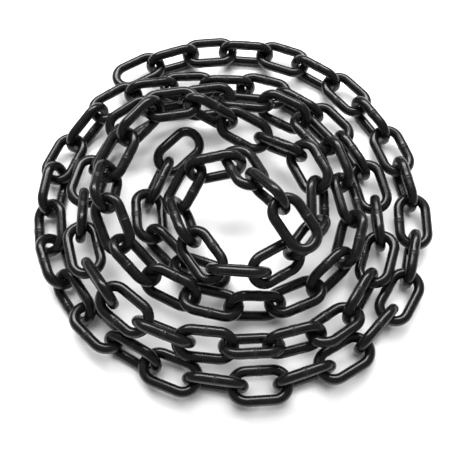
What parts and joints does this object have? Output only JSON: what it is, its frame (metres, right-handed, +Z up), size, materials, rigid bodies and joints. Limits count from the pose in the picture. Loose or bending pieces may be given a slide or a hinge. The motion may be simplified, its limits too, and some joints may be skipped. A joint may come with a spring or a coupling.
{
  "type": "anchor chain heap",
  "caption": "Heap of anchor chain: welded round-bar links coiled flat in about five turns, inner turns leaning and overlapping.",
  "frame": {"origin": "centre of the heap's bounding box in plan, at the floor that it rests on", "axes": "+Z up from the floor, +Y towards the back of the coil, where the outer free link is"},
  "size_m": [0.3024, 0.3094, 0.0787],
  "materials": {
    "black_steel": "satin black"
  },
  "bodies": {
    "root": {"link_00": "black_steel", "link_01_02": "black_steel", "link_03_04": "black_steel", "link_05_06": "black_steel", "link_07_08": "black_steel", "link_09_10": "black_steel", "link_11_12": "black_steel", "link_13_14": "black_steel", "link_15_16": "black_steel", "link_17_18": "black_steel", "link_19_20": "black_steel", "link_21_22": "black_steel", "link_23_24": "black_steel", "link_25_26": "black_steel", "link_27_28": "black_steel", "link_29_30": "black_steel", "link_31_32": "black_steel", "link_33_34": "black_steel", "link_35_36": "black_steel", "link_37_38": "black_steel", "link_39_40": "black_steel", "link_41_42": "black_steel", "link_43_44": "black_steel", "link_45_46": "black_steel", "link_47_48": "black_steel", "link_49_50": "black_steel", "link_51_52": "black_steel", "link_53_54": "black_steel", "link_55_56": "black_steel", "link_57_58": "black_steel", "link_59_60": "black_steel", "link_61_62": "black_steel", "link_63_64": "black_steel", "link_65_66": "black_steel", "link_67_68": "black_steel", "link_69_70": "black_steel", "link_71_72": "black_steel", "link_73_74": "black_steel", "link_75_76": "black_steel", "link_77_78": "black_steel", "link_79_80": "black_steel", "link_81_82": "black_steel", "link_83_84": "black_steel", "short_link_00": "black_steel", "short_link_01_02": "black_steel", "short_link_03_04": "black_steel"}
  },
  "joints": []
}
